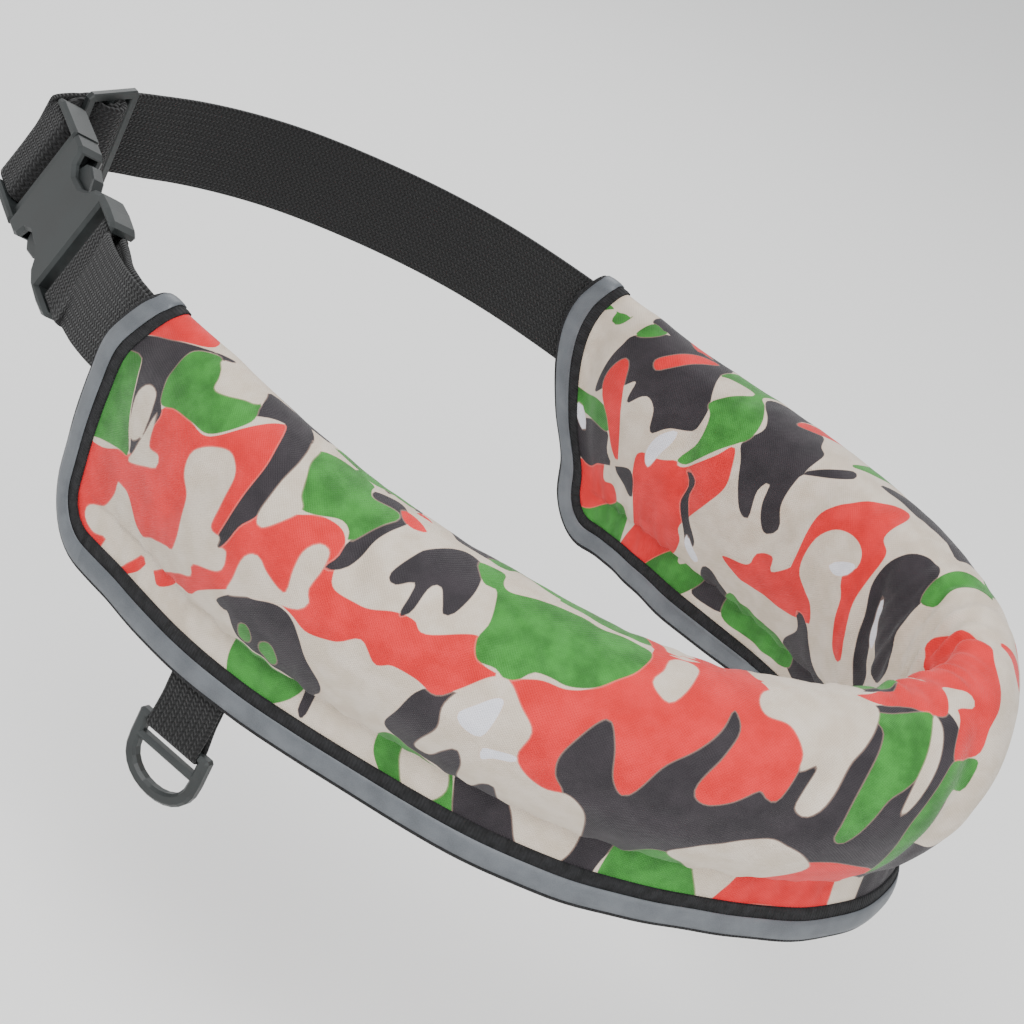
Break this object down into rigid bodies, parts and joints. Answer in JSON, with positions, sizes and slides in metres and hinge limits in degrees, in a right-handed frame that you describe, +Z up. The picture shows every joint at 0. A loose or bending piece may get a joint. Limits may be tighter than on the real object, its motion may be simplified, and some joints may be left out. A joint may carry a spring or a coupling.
{
  "type": "inflatable belt pack",
  "caption": "Belt pack of camouflage cloth, stuffed with its folded bladder and bent round the waist, with a webbing belt, a side-release buckle, a slider and a hanging ring.",
  "frame": {"origin": "centre of the waist opening, at the middle of the pack's height", "axes": "+Z up, -Y towards the middle of the pack, +Y towards the buckle and slider"},
  "size_m": [0.2671, 0.457, 0.1608],
  "materials": {
    "camouflage_oxford": "printed matt oxford weave in red, green, beige and near-black patches",
    "black_binding": "ribbed grosgrain tape",
    "reflective_grey": "satin retroreflective tape",
    "black_webbing": "matt woven webbing",
    "black_acetal": "satin moulded acetal"
  },
  "bodies": {
    "belt": {"pack_cover": "camouflage_oxford", "hem_binding": "black_binding", "reflective_strip": "reflective_grey", "main_belt": "black_webbing", "short_belt": "black_webbing", "strap_slider": "black_acetal", "buckle_socket": "black_acetal", "buckle_plug": "black_acetal", "ring_strap": "black_webbing"},
    "ring": {"d_ring": "black_acetal"}
  },
  "joints": [
    {"name": "d_ring_swing", "type": "hinge", "parent": "belt", "child": "ring", "pos_m": [-0.11024, -0.00285, -0.0794], "axis": [0.0101, 0.9999, 0], "range_deg": [-70, 70]}
  ]
}
